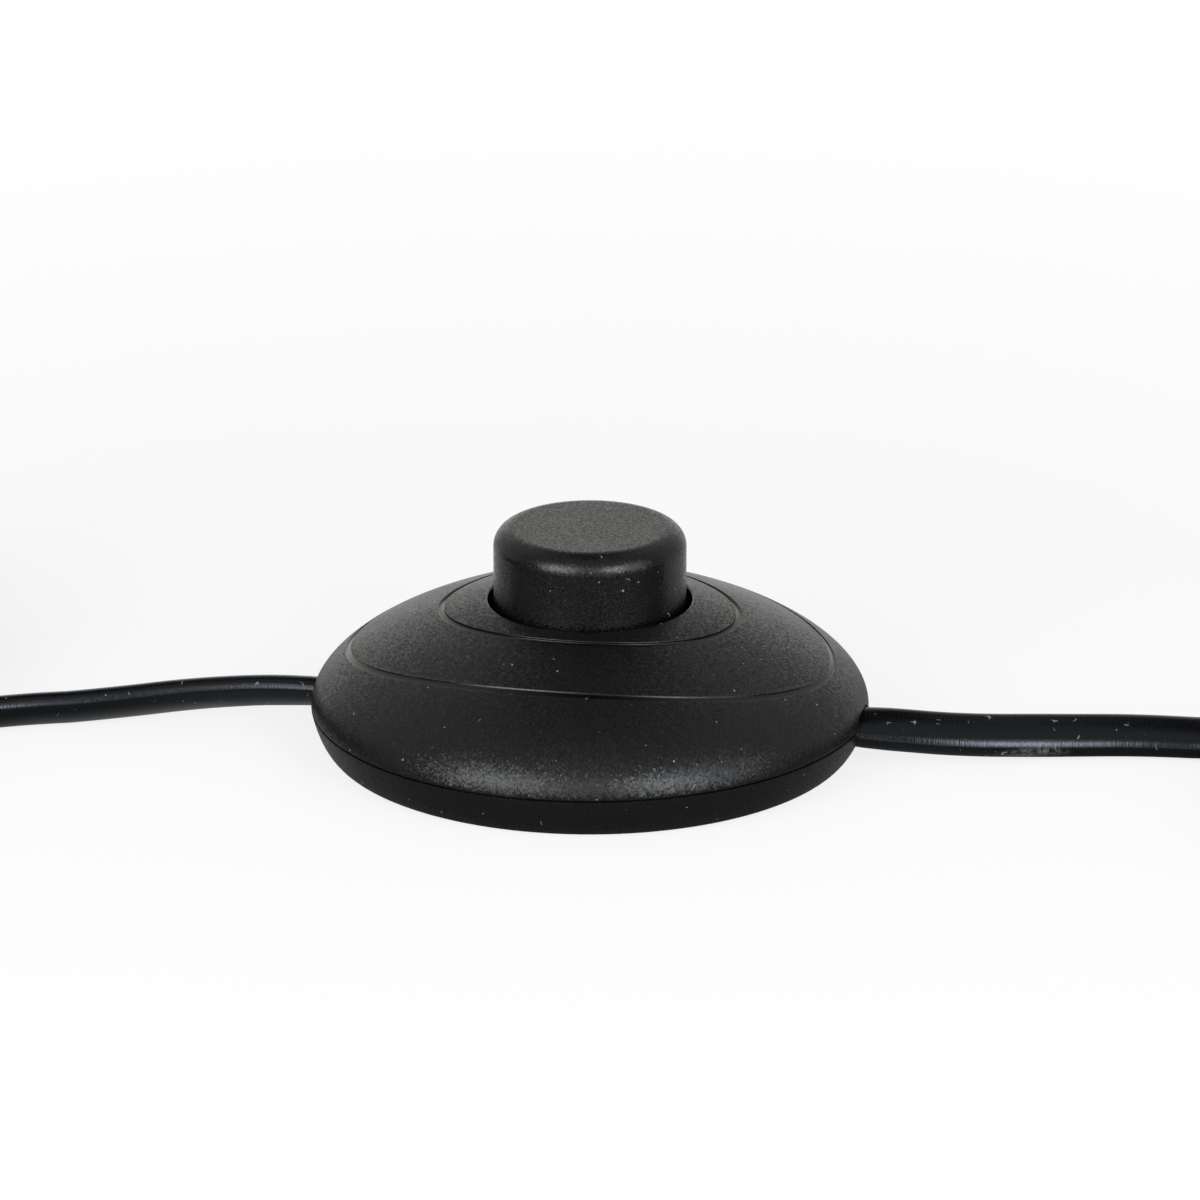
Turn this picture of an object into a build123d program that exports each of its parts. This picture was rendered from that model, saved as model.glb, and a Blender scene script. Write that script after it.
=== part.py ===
from build123d import *
import math
import os

# Foot switch in line in a flat twin cord. Millimetres, +Z up.
# The origin is the middle of the base's flat underside, and the cord leaves along -X and +X.

# Casing
body_radius = 32.5
seam_height = 4.95
foot_radius = 29.4
foot_round = 2.0
waist_round = 0.3
casing_wall = 2.0
floor_thickness = 2.0
rim_height = 18.05
dome_rise = 5.4
crown_slope = 16.0
crown_run = 10.4
hole_edge_round = 0.6
seam_gap = 0.15
seam_gap_depth = 0.5
spigot_height = 1.2
spigot_wall = 1.2
spigot_clearance = 0.4
shoulder_share = 0.35

# Grooves round the dome, long along the cord
outer_groove_long = 28.4
outer_groove_short = 22.4
inner_groove_long = 17.45
inner_groove_short = 14.0
groove_width = 0.8
groove_depth = 0.25

# Push button
button_radius = 11.2
button_top = 26.7
button_edge = 2.3
button_wall = 1.6
button_crown = 2.0
button_clearance = 0.65
button_travel = 4.5
flange_overlap = 1.35
flange_thickness = 1.4
flange_stop_gap = 0.2
sleeve_wall = 1.5
sleeve_bottom = 14.8
rail_width = 2.0
rail_depth = 1.7
rail_clearance = 0.2

# Twisted fingers under the button, and the rotor that they turn
finger_count = 4
finger_span = 24.0
finger_outer = 7.4
finger_inner = 5.2
finger_reach = 0.8
finger_clearance = 0.25
stem_length = 11.1
twist_per_mm = 10.0
rotor_radius = 8.6
rotor_height = 5.35
rotor_flange_overlap = 3.0
rotor_flange_thickness = 1.3
rotor_lift = 0.05
pivot_radius = 2.0
pivot_clearance = 0.05
pivot_shoulder_radius = 3.4
pivot_shoulder_height = 1.0
pivot_proud = 3.6

# Return spring round the pivot
spring_radius = 3.9
spring_wire_radius = 0.4
spring_turns = 6
spring_end_gap = 0.05

# Contacts and terminals
bridge_thickness = 0.5
bridge_ring_width = 1.4
bridge_wing_width = 3.2
bridge_clearance = 0.1
contact_radius = 1.0
contact_height = 0.5
contact_gap = 0.2
tongue_thickness = 0.6
tongue_width = 3.2
tongue_clearance = 0.3
terminal_inset = 15.5
terminal_y = 6.5
terminal_length = 5.0
terminal_width = 5.5
terminal_height = 5.5
pedestal_height = 2.0
wire_hole_radius = 0.95
wire_hole_depth = 4.0
wire_hole_rise = 1.6
terminal_screw_radius = 1.25
terminal_screw_clearance = 0.05
terminal_head_radius = 2.0
terminal_head_height = 1.3
terminal_head_lift = 0.2
slot_width = 0.6
slot_depth = 0.6
neutral_y = 17.0
neutral_length = 16.0
neutral_width = 4.8
neutral_screw_x = 5.0

# Conductors inside the casing
core_radius = 1.05
core_spread = 1.35
copper_radius = 0.75
core_bend_radius = 1.3
neutral_lead = 7.0

# Cord and its clamps
cord_width = 5.4
cord_thickness = 3.2
cord_height = 4.2
cord_clearance = 0.4
mouth_round = 1.2
sheath_inset = 8.9
saddle_length = 5.0
clamp_inset = 6.9
clamp_length = 4.0
clamp_half_width = 8.0
clamp_thickness = 1.2
clamp_screw_y = 5.8
clamp_boss_radius = 2.4
clamp_boss_gap = 0.2
clamp_screw_radius = 1.2
clamp_screw_depth = 3.0
clamp_head_radius = 2.0
clamp_head_height = 1.2
screw_clearance = 0.05

# Screws that hold the cover on the base
housing_screw_y = 24.0
housing_screw_radius = 1.45
housing_screw_end = 10.5
housing_head_radius = 2.8
housing_head_height = 1.8
housing_head_recess = 0.4
housing_head_clearance = 0.2
housing_boss_radius = 3.2
housing_seat_radius = 4.0
housing_seat_height = 2.4
pilot_end_gap = 0.7

# Coils of the cord's spare length, on the floor beside the switch
coil_pitch = 5.6
coil_layer = 3.3
coil_radius = 27.0
coil_edge_round = 1.2
mains_layers = 3
mains_spiral_turns = 2.0
lamp_layers = 2
lamp_spiral_turns = 1.3
tie_thickness = 0.4
tie_width = 4.0
mains_tie_angle = 140.0
lamp_tie_angle = 175.0
bend_share = 0.45

# Plug on the mains coil
plug_width = 35.0
plug_length = 36.0
plug_thickness = 13.7
plug_neck_width = 11.0
plug_cheek = 13.0
plug_edge = 2.0
pin_radius = 2.0
pin_core_radius = 1.4
pin_spacing = 18.6
pin_length = 19.0
pin_sleeve_length = 10.0
pin_root = 6.0
pin_tip_round = 0.9

# Last stretch of the mains cord: an arc over the coil into the plug, at these angles about its middle
tail_radius = 28.0
tail_shift_x = 7.0
tail_shift_y = 3.0
tail_angles = (90.0, 58.0, 26.0, -6.0, -38.0, -66.0, -90.0, -110.0)

# Last stretch of the lamp cord, on top of its coil
lamp_tail_sweep = 234.0
lamp_tail_steps = 9
lamp_tail_rise_share = 0.45
lamp_tail_radius = 24.0

# Stripped end of the lamp cord
lamp_core_length = 18.0
lamp_core_spread = 2.2
ferrule_radius = 1.25
ferrule_length = 8.0

# Places along the cord inside the casing
terminal_x = body_radius - terminal_inset
sheath_end = body_radius - sheath_inset
clamp_x = body_radius - clamp_inset

# Routes of the cords' middle lines, from inside the casing to where each coil starts
mains_route = [
    (-sheath_end, 0, cord_height),
    (-34.5, 0, cord_height),
    (-45.5, -1.5, 3.6),
    (-57.0, -4.6, 2.4),
    (-68.5, -8.7, 2.0),
    (-78.5, -15.0, 2.0),
    (-87.5, -23.6, 2.0),
]
lamp_route = [
    (sheath_end, 0, cord_height),
    (34.0, 0, cord_height),
    (43.5, 1.6, 3.4),
    (53.6, 5.4, 2.7),
    (63.5, 8.3, 2.4),
    (73.5, 9.3, 2.2),
    (83.2, 13.8, 2.0),
    (90.9, 21.2, 2.0),
]

# Places worked out from the sizes above
hole_radius = button_radius + button_clearance
slope = math.radians(crown_slope)
button_inner = button_radius - button_wall
button_ceiling = button_top - button_crown
flange_radius = hole_radius + flange_overlap
flange_top = sleeve_bottom - flange_stop_gap
flange_bottom = flange_top - flange_thickness
rail_inner = flange_radius - rail_depth / 2
rail_outer = rail_inner + rail_depth
pivot_shoulder_top = floor_thickness + pivot_shoulder_height
rotor_bottom = pivot_shoulder_top + rotor_lift
rotor_top = rotor_bottom + rotor_height
finger_bottom = rotor_top - finger_reach
stem_bottom = button_ceiling - stem_length
pivot_top = rotor_top + pivot_proud
rotor_flange_radius = rotor_radius + rotor_flange_overlap
rotor_flange_top = rotor_bottom + rotor_flange_thickness
bridge_inner = rotor_radius + bridge_clearance
contact_x = bridge_inner + bridge_ring_width
bridge_top = rotor_flange_top + bridge_thickness
fixed_contact_bottom = bridge_top + contact_height + contact_gap
tongue_bottom = fixed_contact_bottom + contact_height
pedestal_top = floor_thickness + pedestal_height
terminal_top = pedestal_top + terminal_height
wire_height = pedestal_top + wire_hole_rise
cord_top = cord_height + cord_thickness / 2
cord_bottom = cord_height - cord_thickness / 2
mouth_top = cord_top + cord_clearance
mouth_bottom = cord_bottom - cord_clearance
mouth_width = cord_width + 2 * cord_clearance
clamp_boss_top = cord_top - clamp_boss_gap
clamp_top = cord_top + clamp_thickness
housing_seat_top = floor_thickness + housing_seat_height
housing_head_top = housing_head_recess + housing_head_height
mains_coil_height = mains_layers * coil_layer
lamp_coil_height = lamp_layers * coil_layer
mains_coil_outer = coil_radius + mains_spiral_turns * coil_pitch / 2
mains_coil_inner = coil_radius - mains_spiral_turns * coil_pitch / 2
lamp_coil_outer = coil_radius + lamp_spiral_turns * coil_pitch / 2
lamp_coil_inner = coil_radius - lamp_spiral_turns * coil_pitch / 2
plug_middle = tie_thickness + mains_coil_height + plug_thickness / 2
plug_turn = tail_angles[-1] - 90


def dome_curve(inset):
    """Middle section of the dome, moved in by a wall, from the seam up to the button hole."""
    foot = Vector(body_radius - inset, seam_height)
    foot_handle = foot + Vector(0, dome_rise - shoulder_share * inset)
    inward = Vector(-math.sin(slope), -math.cos(slope)) * inset
    crown = Vector(hole_radius, rim_height) + inward
    crown_handle = crown + Vector(math.cos(slope), -math.sin(slope)) * crown_run
    return [foot, foot_handle, crown_handle, crown]


def dome_solid(inset):
    """Everything under the dome's outer or inner face, down to the seam."""
    points = dome_curve(inset)
    foot, crown = points[0], points[-1]
    rest = Polyline((crown.X, crown.Y), (0, crown.Y), (0, foot.Y), (foot.X, foot.Y))
    return revolve(Plane.XZ * make_face(Bezier(*points) + rest), Axis.Z)


def ring(outer, inner, bottom, top):
    """Plain ring about the Z axis."""
    flat = Circle(outer) - Circle(inner)
    return extrude(Pos(0, 0, bottom) * flat, top - bottom)


def post(x, y, radius, bottom, top):
    """Plain upright cylinder."""
    return extrude(Pos(x, y, bottom) * Circle(radius), top - bottom)


def block(x, y, length, width, bottom, top):
    """Plain upright box."""
    return extrude(Pos(x, y, bottom) * Rectangle(length, width), top - bottom)


def groove(long_half, short_half):
    """Shallow groove of elliptic plan in the dome's skin."""
    half = groove_width / 2
    plan = Ellipse(long_half + half, short_half + half) - Ellipse(long_half - half, short_half - half)
    band = extrude(Pos(0, 0, seam_height) * plan, rim_height)
    skin = dome_solid(0) - dome_solid(groove_depth)
    return skin & band


def cord_mouth(side, top):
    """Opening for the flat cord through the casing's edge."""
    height = top - mouth_bottom
    depth = 2 * (body_radius - clamp_x)
    plan = Rectangle(mouth_width, height)
    plan = fillet(plan.vertices(), mouth_round)
    face = Plane.YZ * Pos(0, (top + mouth_bottom) / 2) * plan
    return Pos(side * clamp_x, 0, 0) * extrude(face, side * depth)


def make_top_cover():
    full = dome_solid(0)
    cover = full - dome_solid(casing_wall)
    room = dome_solid(casing_wall / 2) + post(0, 0, body_radius - casing_wall, 0, seam_height)
    cover += ring(hole_radius + sleeve_wall, hole_radius, sleeve_bottom, rim_height) & full
    cover -= post(0, 0, hole_radius, seam_height, rim_height)
    rim = cover.edges().filter_by(GeomType.CIRCLE).group_by(Axis.Z)[-1]
    cover = fillet(rim, hole_edge_round)
    cover -= groove(outer_groove_long, outer_groove_short)
    cover -= groove(inner_groove_long, inner_groove_short)
    cover -= ring(
        body_radius, body_radius - seam_gap_depth, seam_height, seam_height + seam_gap
    )
    rail_bottom = flange_bottom - button_travel
    for side in (1, -1):
        boss = post(0, side * housing_screw_y, housing_boss_radius, housing_seat_top, rim_height)
        cover += boss & room
        pilot = housing_screw_radius + screw_clearance
        pilot_end = housing_screw_end + pilot_end_gap
        cover -= post(0, side * housing_screw_y, pilot, 0, pilot_end)
        rail_y = side * (rail_inner + rail_outer) / 2
        rail = block(0, rail_y, rail_width, rail_depth, rail_bottom, rim_height)
        cover += rail & room
        cover -= cord_mouth(side, mouth_top)
    return cover


def base_dish():
    """Dish of the base with the spigot that the cover fits over."""
    spigot_outer = body_radius - casing_wall - spigot_clearance
    spigot_inner = spigot_outer - spigot_wall
    spigot_top = seam_height + spigot_height
    outer = Bezier(
        (foot_radius, 0),
        (foot_radius + foot_round, 0),
        (body_radius, seam_height - waist_round),
        (body_radius, seam_height),
    )
    inside = Polyline(
        (body_radius, seam_height),
        (spigot_outer, seam_height),
        (spigot_outer, spigot_top),
        (spigot_inner, spigot_top),
        (spigot_inner, seam_height),
        (foot_radius - casing_wall, floor_thickness),
        (0, floor_thickness),
        (0, 0),
        (foot_radius, 0),
    )
    return revolve(Plane.XZ * make_face(outer + inside), Axis.Z)


def make_base_plate():
    dish = base_dish()
    base = dish
    base += post(0, 0, pivot_shoulder_radius, floor_thickness, pivot_shoulder_top)
    base += post(0, 0, pivot_radius, floor_thickness, pivot_top)
    base += block(0, -neutral_y, neutral_length, neutral_width, floor_thickness, pedestal_top)
    for side in (1, -1):
        base += block(
            side * terminal_x, terminal_y, terminal_length, terminal_width, floor_thickness, pedestal_top
        )
        seat_y = side * housing_screw_y
        base += post(0, seat_y, housing_seat_radius, floor_thickness, housing_seat_top)
        head = housing_head_radius + housing_head_clearance
        base -= post(0, seat_y, head, 0, housing_head_top)
        shank = housing_screw_radius + screw_clearance
        base -= post(0, seat_y, shank, 0, housing_seat_top)
        saddle_x = side * (sheath_end + saddle_length / 2)
        base += block(saddle_x, 0, saddle_length, cord_width, floor_thickness, cord_bottom)
        for hand in (1, -1):
            boss_y = hand * clamp_screw_y
            boss = post(side * clamp_x, boss_y, clamp_boss_radius, floor_thickness, clamp_boss_top)
            base += boss
            hole = clamp_screw_radius + screw_clearance
            hole_end = clamp_boss_top - clamp_screw_depth
            base -= post(side * clamp_x, boss_y, hole, hole_end, clamp_boss_top)
        base -= cord_mouth(side, seam_height + 2 * spigot_height) - cord_saddle_keep(side)
    return base


def cord_saddle_keep(side):
    """What the cord mouth leaves standing under the cord, inside the casing."""
    saddle_x = side * (sheath_end + saddle_length / 2)
    return block(saddle_x, 0, saddle_length, cord_width, 0, cord_bottom)


def drive_sector(outer, inner, span, bottom, height):
    """Ring sector that twists about the Z axis as it rises."""
    half = span / 2
    inner_arc = CenterArc((0, 0), inner, -half, span)
    outer_arc = CenterArc((0, 0), outer, -half, span)
    sides = [Line(inner_arc @ 0, outer_arc @ 0), Line(inner_arc @ 1, outer_arc @ 1)]
    plan = make_face(inner_arc + outer_arc + sides)
    plan = Rot(0, 0, twist_per_mm * bottom) * plan
    plan = Pos(0, 0, bottom) * plan
    return Solid.extrude_linear_with_rotation(
        plan.face(), (0, 0, bottom), (0, 0, height), twist_per_mm * height
    )


def sectors(outer, inner, span, bottom, height):
    """All the twisted sectors, evenly spaced round the axis."""
    sector = drive_sector(outer, inner, span, bottom, height)
    return [Rot(0, 0, 360 / finger_count * turn) * sector for turn in range(finger_count)]


def make_push_button():
    side = Polyline(
        (button_radius, button_top - button_edge),
        (button_radius, flange_top),
        (flange_radius, flange_top),
        (flange_radius, flange_bottom),
        (button_inner, flange_bottom),
        (button_inner, button_ceiling),
        (finger_outer, button_ceiling),
        (finger_outer, stem_bottom),
        (finger_inner, stem_bottom),
        (finger_inner, button_ceiling),
        (0, button_ceiling),
        (0, button_top),
        (button_radius - button_edge, button_top),
    )
    edge = CenterArc((button_radius - button_edge, button_top - button_edge), button_edge, 0, 90)
    button = revolve(Plane.XZ * make_face(side + edge), Axis.Z)
    finger_length = stem_bottom - finger_bottom
    for finger in sectors(finger_outer, finger_inner, finger_span, finger_bottom, finger_length):
        button += finger
    notch_width = rail_width + 2 * rail_clearance
    notch_depth = flange_radius - rail_inner + rail_clearance
    for hand in (1, -1):
        notch_y = hand * (flange_radius - notch_depth / 2 + rail_clearance)
        notch_reach = notch_depth + 2 * rail_clearance
        button -= block(0, notch_y, notch_width, notch_reach, flange_bottom, flange_top)
    return button


def make_rotor():
    rotor = ring(rotor_radius, pivot_radius + pivot_clearance, rotor_bottom, rotor_top)
    rotor += ring(rotor_flange_radius, rotor_radius, rotor_bottom, rotor_flange_top)
    widening = 2 * math.degrees(finger_clearance / finger_inner)
    slots = sectors(
        finger_outer + finger_clearance,
        finger_inner - finger_clearance,
        finger_span + widening,
        rotor_bottom,
        rotor_height,
    )
    for slot in slots:
        rotor -= slot
    return rotor


def make_return_spring():
    bottom = rotor_top + spring_end_gap + spring_wire_radius
    top = button_ceiling - spring_end_gap - spring_wire_radius
    path = Pos(0, 0, bottom) * Helix((top - bottom) / spring_turns, top - bottom, spring_radius)
    section = Plane(path @ 0, z_dir=path % 0) * Circle(spring_wire_radius)
    return sweep(section, path, is_frenet=True)


def make_contact_bridge():
    wing_length = 2 * rotor_flange_radius - bridge_clearance
    plan = Circle(bridge_inner + bridge_ring_width) + Rectangle(wing_length, bridge_wing_width)
    plan = plan & Circle(rotor_flange_radius)
    plan -= Circle(bridge_inner)
    return extrude(Pos(0, 0, rotor_flange_top) * plan, bridge_thickness)


def contact_buttons(bottom):
    return [post(side * contact_x, 0, contact_radius, bottom, bottom + contact_height) for side in (-1, 1)]


def wire_bore(side, x_face, y):
    """Blind hole that a conductor's bare end goes into."""
    mouth = Plane((side * x_face, y, wire_height), z_dir=(-side, 0, 0))
    return extrude(mouth * Circle(wire_hole_radius), wire_hole_depth)


def make_terminal(side):
    """Clamp block with a tongue that reaches in over the rotor's edge."""
    x_outer = terminal_x + terminal_length / 2
    x_inner = terminal_x - terminal_length / 2
    body = block(
        side * terminal_x, terminal_y, terminal_length, terminal_width, pedestal_top, terminal_top
    )
    tongue_tip = rotor_radius + tongue_clearance
    tongue_top = tongue_bottom + tongue_thickness
    tongue_middle = side * (tongue_tip + x_outer) / 2
    body += block(tongue_middle, 0, x_outer - tongue_tip, tongue_width, tongue_bottom, tongue_top)
    neck_low = -tongue_width / 2
    neck_high = terminal_y
    neck_middle = (neck_low + neck_high) / 2
    neck_width = neck_high - neck_low
    body += block(
        side * terminal_x, neck_middle, x_outer - x_inner, neck_width, tongue_bottom, tongue_top
    )
    body -= wire_bore(side, x_outer, terminal_y)
    screw_hole = terminal_screw_radius + terminal_screw_clearance
    body -= post(side * terminal_x, terminal_y, screw_hole, wire_height, terminal_top)
    return body


def make_neutral_connector():
    body = block(0, -neutral_y, neutral_length, neutral_width, pedestal_top, terminal_top)
    screw_hole = terminal_screw_radius + terminal_screw_clearance
    for side in (1, -1):
        body -= wire_bore(side, neutral_length / 2, -neutral_y)
        body -= post(side * neutral_screw_x, -neutral_y, screw_hole, wire_height, terminal_top)
    return body


def slotted_screw(shank_radius, head_radius, head_height, shank_bottom, head_bottom):
    """Slotted cheese-head screw standing on the Z axis."""
    screw = post(0, 0, shank_radius, shank_bottom, head_bottom)
    head_top = head_bottom + head_height
    screw += post(0, 0, head_radius, head_bottom, head_top)
    return screw - block(0, 0, 2 * head_radius, slot_width, head_top - slot_depth, head_top)


def make_terminal_screws():
    shank_bottom = wire_height + copper_radius
    head_bottom = terminal_top + terminal_head_lift
    screw = slotted_screw(
        terminal_screw_radius, terminal_head_radius, terminal_head_height, shank_bottom, head_bottom
    )
    places = [(side * terminal_x, terminal_y) for side in (-1, 1)]
    places += [(side * neutral_screw_x, -neutral_y) for side in (-1, 1)]
    return [Pos(x, y, 0) * screw for x, y in places]


def make_clamp_screws():
    shank_bottom = clamp_boss_top - clamp_screw_depth
    screw = slotted_screw(
        clamp_screw_radius, clamp_head_radius, clamp_head_height, shank_bottom, clamp_top
    )
    return [
        Pos(side * clamp_x, hand * clamp_screw_y, 0) * screw for side in (-1, 1) for hand in (-1, 1)
    ]


def make_housing_screws():
    screw = post(0, 0, housing_screw_radius, housing_head_top, housing_screw_end)
    screw += post(0, 0, housing_head_radius, housing_head_recess, housing_head_top)
    slot_top = housing_head_recess + slot_depth
    screw -= block(0, 0, 2 * housing_head_radius, slot_width, housing_head_recess, slot_top)
    return [Pos(0, hand * housing_screw_y, 0) * screw for hand in (-1, 1)]


def make_clamp(side):
    """Strain relief bar across the sheath."""
    bar = block(side * clamp_x, 0, clamp_length, 2 * clamp_half_width, cord_top, clamp_top)
    hole = clamp_screw_radius + screw_clearance
    for hand in (1, -1):
        bar -= post(side * clamp_x, hand * clamp_screw_y, hole, cord_top, clamp_top)
    return bar


def tube(path, radius):
    """Round tube along a path."""
    return sweep(Plane(path @ 0, z_dir=path % 0) * Circle(radius), path)


def live_wire(side):
    """Conductor from the sheath's end round to the clamp block."""
    x_outer = terminal_x + terminal_length / 2
    x_turn = (sheath_end + x_outer) / 2
    path = FilletPolyline(
        (side * sheath_end, core_spread, cord_height),
        (side * x_turn, core_spread, cord_height),
        (side * x_turn, terminal_y, wire_height),
        (side * x_outer, terminal_y, wire_height),
        radius=core_bend_radius,
    )
    return tube(path, core_radius)


def neutral_wire(side):
    """Conductor from the sheath's end to the through connector."""
    x_turn = (sheath_end + terminal_x + terminal_length / 2) / 2
    x_face = neutral_length / 2
    path = FilletPolyline(
        (side * sheath_end, -core_spread, cord_height),
        (side * x_turn, -core_spread, cord_height),
        (side * (x_face + neutral_lead), -neutral_y, wire_height),
        (side * x_face, -neutral_y, wire_height),
        radius=core_bend_radius,
    )
    return tube(path, core_radius)


def make_stripped_ends():
    """Bare copper inside the four clamp blocks' holes."""
    faces = [(side, terminal_x + terminal_length / 2, terminal_y) for side in (-1, 1)]
    faces += [(side, neutral_length / 2, -neutral_y) for side in (-1, 1)]
    ends = []
    for side, x_face, y in faces:
        mouth = Plane((side * x_face, y, wire_height), z_dir=(-side, 0, 0))
        ends.append(extrude(mouth * Circle(copper_radius), wire_hole_depth))
    return ends


def cord_path(points, name):
    """Straight runs joined by arcs, each as large as its two runs allow."""
    spots = [Vector(*point) for point in points]
    runs = [after - before for before, after in zip(spots, spots[1:])]
    radii = []
    for before, after in zip(runs, runs[1:]):
        turn = math.radians(before.get_angle(after))
        radii.append(bend_share * min(before.length, after.length) / math.tan(turn / 2))
    print(name, "bend radii", [round(radius, 1) for radius in radii])
    return FilletPolyline(*points, radius=radii)


def flat_cord(points, name):
    """Flat twin cord along a route, wide side level."""
    path = cord_path(points, name)
    ahead = path % 0
    across = Vector(0, 0, 1).cross(ahead)
    section = Plane(path @ 0, x_dir=across, z_dir=ahead) * SlotOverall(cord_width, cord_thickness)
    solid = sweep(section, path)
    area = (cord_width - cord_thickness) * cord_thickness + math.pi * cord_thickness**2 / 4
    print(name, "volume over section times length", round(solid.volume / (area * path.length), 4))
    return solid


def coil_middle(route, radius, hand):
    """Middle of the coil that a route runs into, on its left (hand 1) or right (hand -1)."""
    before, last = (Vector(*point) for point in route[-2:])
    ahead = Vector(last.X - before.X, last.Y - before.Y).normalized()
    return Vector(last.X, last.Y) + Vector(-ahead.Y, ahead.X) * radius * hand


def coil_solid(middle, outer, inner, height):
    """Outer shape of the wound turns, lying flat on the tie."""
    width = outer - inner + cord_width
    section = Pos((outer + inner) / 2, tie_thickness + height / 2) * Rectangle(width, height)
    section = fillet(section.vertices(), coil_edge_round)
    return Pos(middle.X, middle.Y, 0) * revolve(Plane.XZ * section, Axis.Z)


def coil_tie(middle, outer, inner, height, angle):
    """Flat tie round the turns of a coil."""
    width = outer - inner + cord_width
    grown = Rectangle(width + 2 * tie_thickness, height + 2 * tie_thickness)
    grown = fillet(grown.vertices(), coil_edge_round + tie_thickness)
    hole = fillet(Rectangle(width, height).vertices(), coil_edge_round)
    section = Pos((outer + inner) / 2, tie_thickness + height / 2) * (grown - hole)
    span = math.degrees(tie_width / outer)
    band = revolve(Plane.XZ * section, Axis.Z, span)
    around = coil_solid(Vector(0, 0), outer, inner, height)
    return Pos(middle.X, middle.Y, 0) * Rot(0, 0, angle) * (band - around)


def plug_place(route):
    """Frame of the plug: its cord end at the origin, its pins along +X, its width along Y."""
    return Pos(*route[-1]) * Rot(0, 0, plug_turn)


def make_plug_body():
    half = plug_width / 2
    neck = plug_neck_width / 2
    outline = Polyline(
        (0, -neck),
        (plug_length - plug_cheek, -half),
        (plug_length, -half),
        (plug_length, half),
        (plug_length - plug_cheek, half),
        (0, neck),
        close=True,
    )
    body = extrude(Pos(0, 0, -plug_thickness / 2) * make_face(outline), plug_thickness)
    body = fillet(body.edges().filter_by(Axis.Z), plug_edge)
    flats = body.faces().sort_by(Axis.Z)
    body = fillet(flats[-1].edges() + flats[0].edges(), plug_edge)
    for hand in (1, -1):
        foot = Plane((plug_length, hand * pin_spacing / 2, 0), z_dir=(1, 0, 0))
        body += extrude(foot * Circle(pin_radius), pin_sleeve_length)
        body -= extrude(foot * Circle(pin_core_radius), pin_sleeve_length)
        body -= extrude(foot * Circle(pin_core_radius), -pin_root)
    return body


def make_plug_pins():
    pins = []
    for hand in (1, -1):
        root = Plane((plug_length - pin_root, hand * pin_spacing / 2, 0), z_dir=(1, 0, 0))
        foot = Plane((plug_length + pin_sleeve_length, hand * pin_spacing / 2, 0), z_dir=(1, 0, 0))
        tip = extrude(foot * Circle(pin_radius), pin_length - pin_sleeve_length)
        tip = fillet(tip.edges().sort_by(Axis.X)[-1], pin_tip_round)
        pins.append(tip + extrude(root * Circle(pin_core_radius), pin_root + pin_sleeve_length))
    return pins


def top_layer(layers):
    """Height of the cord's middle line in a layer of a coil."""
    return tie_thickness + coil_layer * (layers - 1) + cord_thickness / 2


def tail_route(middle):
    """The mains cord's end, off the top of its coil and up into the plug."""
    hub = middle + Vector(tail_shift_x, tail_shift_y)
    low = top_layer(mains_layers)
    points = [(middle.X, hub.Y + tail_radius, low)]
    for angle in tail_angles:
        spot = hub + Vector(tail_radius, 0).rotate(Axis.Z, angle)
        share = (tail_angles[0] - angle) / (tail_angles[0] - tail_angles[-1])
        height = low + (plug_middle - low) * math.sin(share * math.pi / 2)
        points.append((spot.X, spot.Y, height))
    return points


def lamp_tail_route(middle, start_angle):
    """The lamp cord's end, up on to its coil and inward along the top of it."""
    low = top_layer(lamp_layers)
    points = []
    for step in range(lamp_tail_steps + 1):
        share = step / lamp_tail_steps
        angle = start_angle - lamp_tail_sweep * share
        radius = lamp_coil_outer + (lamp_tail_radius - lamp_coil_outer) * share
        spot = middle + Vector(radius, 0).rotate(Axis.Z, angle)
        points.append((spot.X, spot.Y, low + coil_layer * min(share / lamp_tail_rise_share, 1)))
    return points


def lamp_end(route):
    """Frame at the sheath's end: the cord runs along +X."""
    before, last = (Vector(*point) for point in route[-2:])
    ahead = Vector(last.X - before.X, last.Y - before.Y, 0).normalized()
    return Plane(last, x_dir=ahead, z_dir=(0, 0, 1)).location


def make_lamp_cores(place):
    cores = []
    for hand in (1, -1):
        path = FilletPolyline(
            (0, hand * core_spread, 0),
            (lamp_core_length / 2, hand * core_spread, 0),
            (lamp_core_length, hand * (core_spread + lamp_core_spread), 0),
            radius=[lamp_core_length],
        )
        cores.append(place * tube(path, core_radius))
    return cores


def make_ferrules(place):
    ferrules = []
    for hand in (1, -1):
        ahead = Vector(lamp_core_length / 2, hand * lamp_core_spread).normalized()
        tip = Plane((lamp_core_length, hand * (core_spread + lamp_core_spread), 0), z_dir=ahead)
        ferrules.append(place * extrude(tip * Circle(ferrule_radius), ferrule_length))
    return ferrules


def save(shape, node):
    """One file for each node, with its solids kept separate."""
    if isinstance(shape, list):
        shape = Compound(children=shape)
    shape.label = node
    export_step(shape, f"parts/{node}.step")


os.makedirs("parts", exist_ok=True)

save(make_top_cover(), "top_cover")
save(make_base_plate(), "base_plate")
save(make_push_button(), "push_button")
save(make_return_spring(), "return_spring")
save(make_rotor(), "rotor")
save(make_contact_bridge(), "contact_bridge")
save(contact_buttons(bridge_top), "bridge_contacts")
save(contact_buttons(fixed_contact_bottom), "fixed_contacts")
save(make_terminal(-1), "line_terminal")
save(make_terminal(1), "load_terminal")
save(make_neutral_connector(), "neutral_connector")
save(make_terminal_screws(), "terminal_screws")
save(make_clamp_screws(), "clamp_screws")
save(make_housing_screws(), "housing_screws")
save(make_clamp(-1), "mains_cord_clamp")
save(make_clamp(1), "lamp_cord_clamp")
save(live_wire(-1), "line_wire")
save(live_wire(1), "load_wire")
save(neutral_wire(-1), "neutral_wire_in")
save(neutral_wire(1), "neutral_wire_out")
save(make_stripped_ends(), "stripped_ends")

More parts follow.
